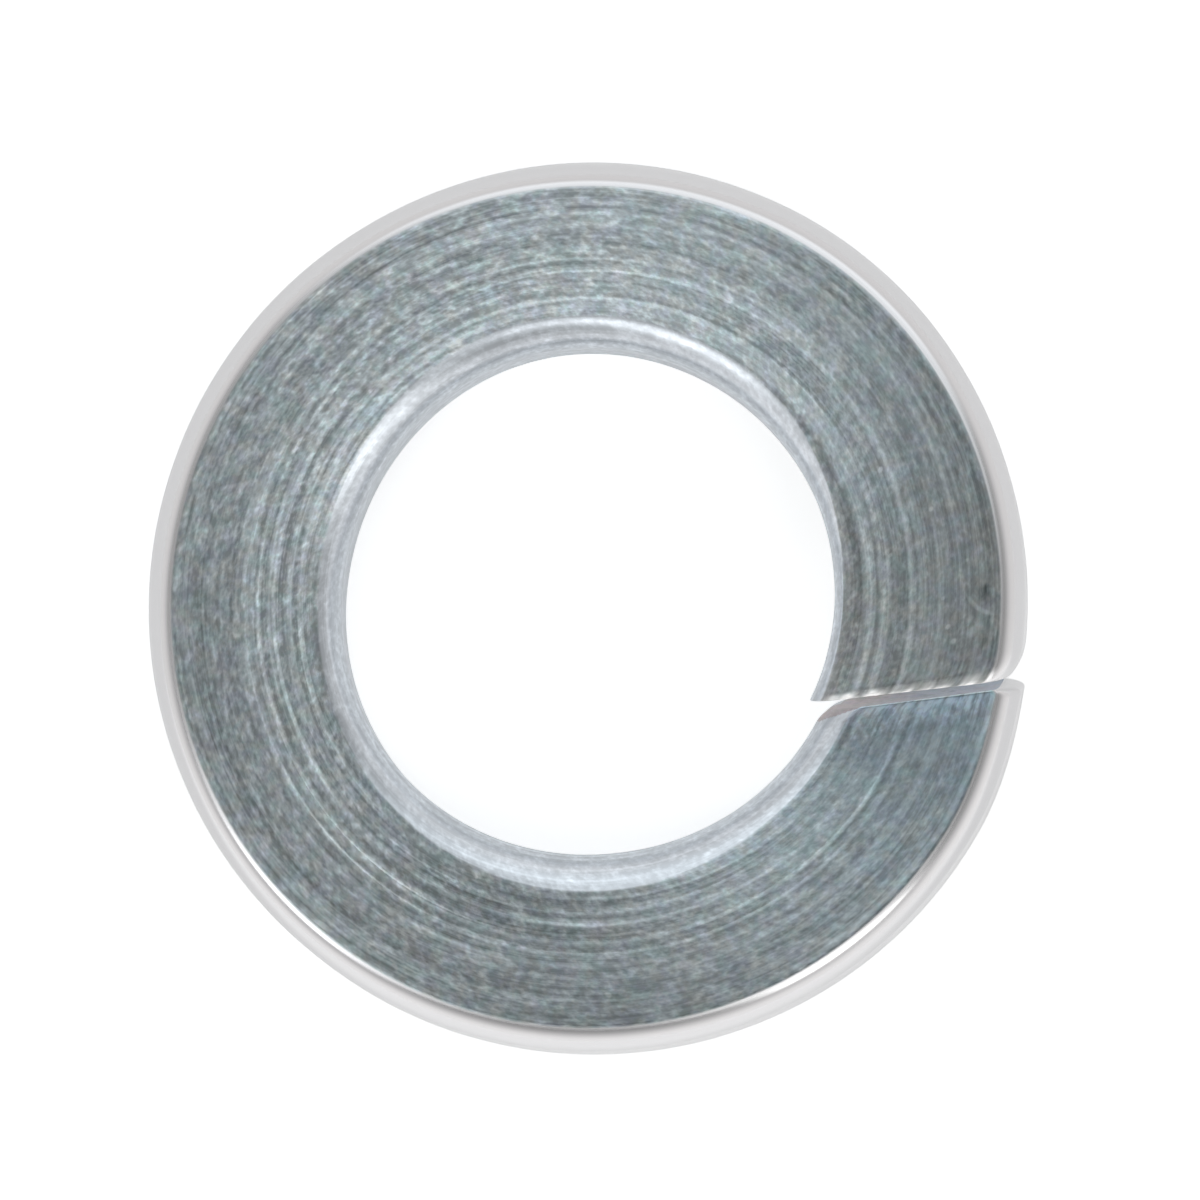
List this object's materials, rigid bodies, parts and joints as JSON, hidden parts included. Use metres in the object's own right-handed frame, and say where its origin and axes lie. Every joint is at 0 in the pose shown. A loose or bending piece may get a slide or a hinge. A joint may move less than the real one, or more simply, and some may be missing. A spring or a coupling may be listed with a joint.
{
  "type": "spring lock washer",
  "caption": "Split coil of flat spring steel wire that goes under a screw head or nut and presses back against it, so that the screw stays tight.",
  "frame": {"origin": "on the axis of the bore, half way up the coil", "axes": "+Z along the axis of the bore, towards the side where the upper end stands proud; the split faces +X"},
  "size_m": [0.0113, 0.0114, 0.0036],
  "materials": {
    "zinc_plate": "bright zinc plate over drawn spring steel, satin, with fine drawing lines round the ring"
  },
  "bodies": {
    "root": {"lock_washer": "zinc_plate"}
  },
  "joints": []
}
